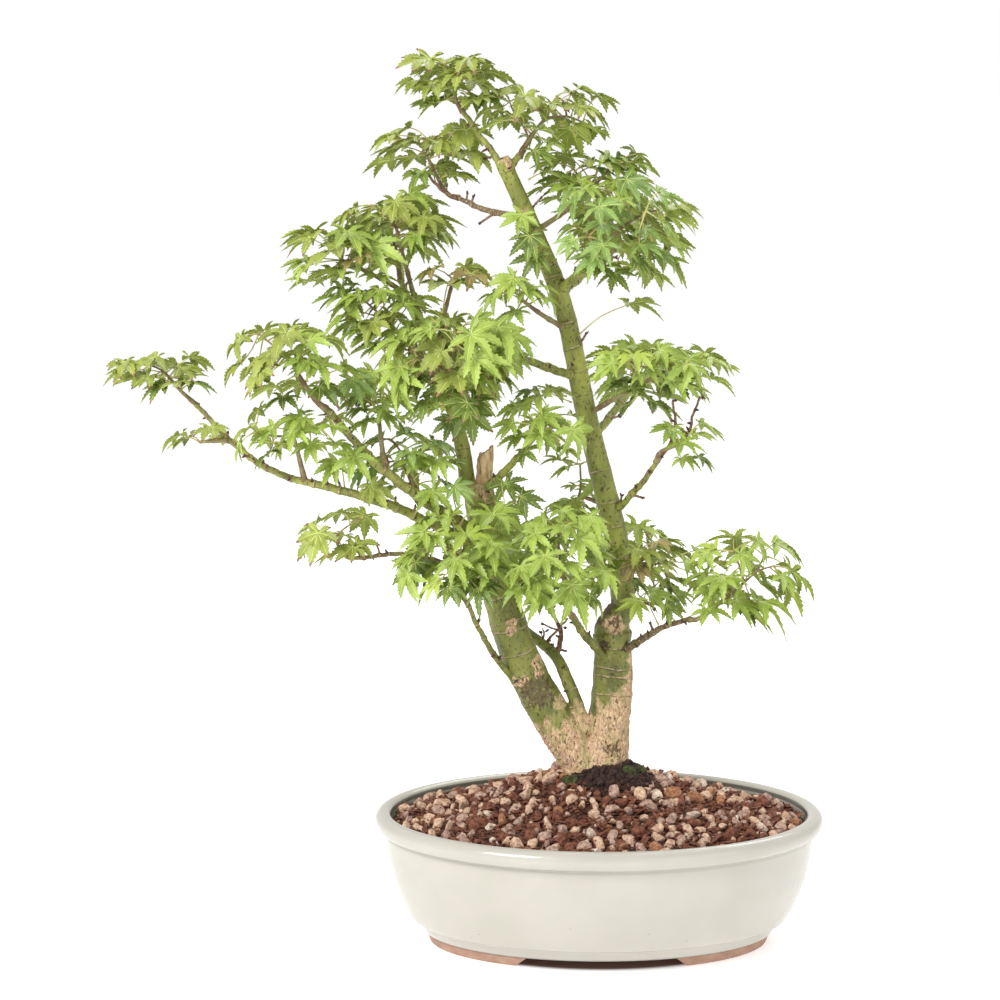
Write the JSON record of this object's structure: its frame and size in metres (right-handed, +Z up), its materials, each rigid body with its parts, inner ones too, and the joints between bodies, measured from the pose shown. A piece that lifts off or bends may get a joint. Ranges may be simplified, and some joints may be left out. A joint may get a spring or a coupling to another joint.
{
  "type": "maple bonsai in an oval pot",
  "caption": "Japanese maple bonsai with forked green stems and airy palmate foliage, in an oval cream glazed pot on bare clay feet, filled with grit.",
  "frame": {"origin": "on the ground under the middle of the whole plant's box", "axes": "+Z up, front towards -Y, the long low bough reaches towards -X"},
  "size_m": [0.5678, 0.3316, 0.7036],
  "materials": {
    "glaze": "gloss",
    "bare_clay": "matte",
    "grit_soil": "matte",
    "green_bark": "satin",
    "dead_wood": "matte",
    "leaf": "satin"
  },
  "bodies": {
    "root": {"apex_left_shoot": "green_bark", "apex_right_shoot": "green_bark", "back_left_bough": "green_bark", "back_right_bough": "green_bark", "back_top_bough": "green_bark", "back_upper_bough": "green_bark", "crossing_bough": "green_bark", "dead_stub": "dead_wood", "foot_left": "bare_clay", "foot_right": "bare_clay", "inner_bough": "green_bark", "leaves_apex_left": "leaf", "leaves_apex_right": "leaf", "leaves_back_left": "leaf", "leaves_back_low": "leaf", "leaves_back_right": "leaf", "leaves_back_top": "leaf", "leaves_back_upper": "leaf", "leaves_behind_leader": "leaf", "leaves_far_left": "leaf", "leaves_far_left_low": "leaf", "leaves_hanging": "leaf", "leaves_inner_front": "leaf", "leaves_inner_left": "leaf", "leaves_inner_top": "leaf", "leaves_inner_upper": "leaf", "leaves_low_front": "leaf", "leaves_low_left": "leaf", "leaves_low_middle": "leaf", "leaves_low_right": "leaf", "leaves_mid_front": "leaf", "leaves_mid_left": "leaf", "leaves_outer_left": "leaf", "leaves_outer_left_low": "leaf", "leaves_right": "leaf", "leaves_right_small": "leaf", "leaves_stump": "leaf", "leaves_stump_front": "leaf", "leaves_top_inner": "leaf", "leaves_top_left": "leaf", "leaves_upper_left": "leaf", "leaves_upper_middle": "leaf", "leaves_upper_right": "leaf", "left_bough": "green_bark", "left_leader": "green_bark", "left_stem": "green_bark", "long_bough": "green_bark", "low_front_bough": "green_bark", "low_left_twig": "green_bark", "low_right_bough": "green_bark", "middle_stem": "green_bark", "pot": "glaze", "right_bough": "green_bark", "right_leader": "green_bark", "right_stem": "green_bark", "soil": "grit_soil", "thin_shoot": "green_bark", "trunk": "green_bark", "upper_left_bough": "green_bark", "upper_right_bough": "green_bark"}
  },
  "joints": []
}
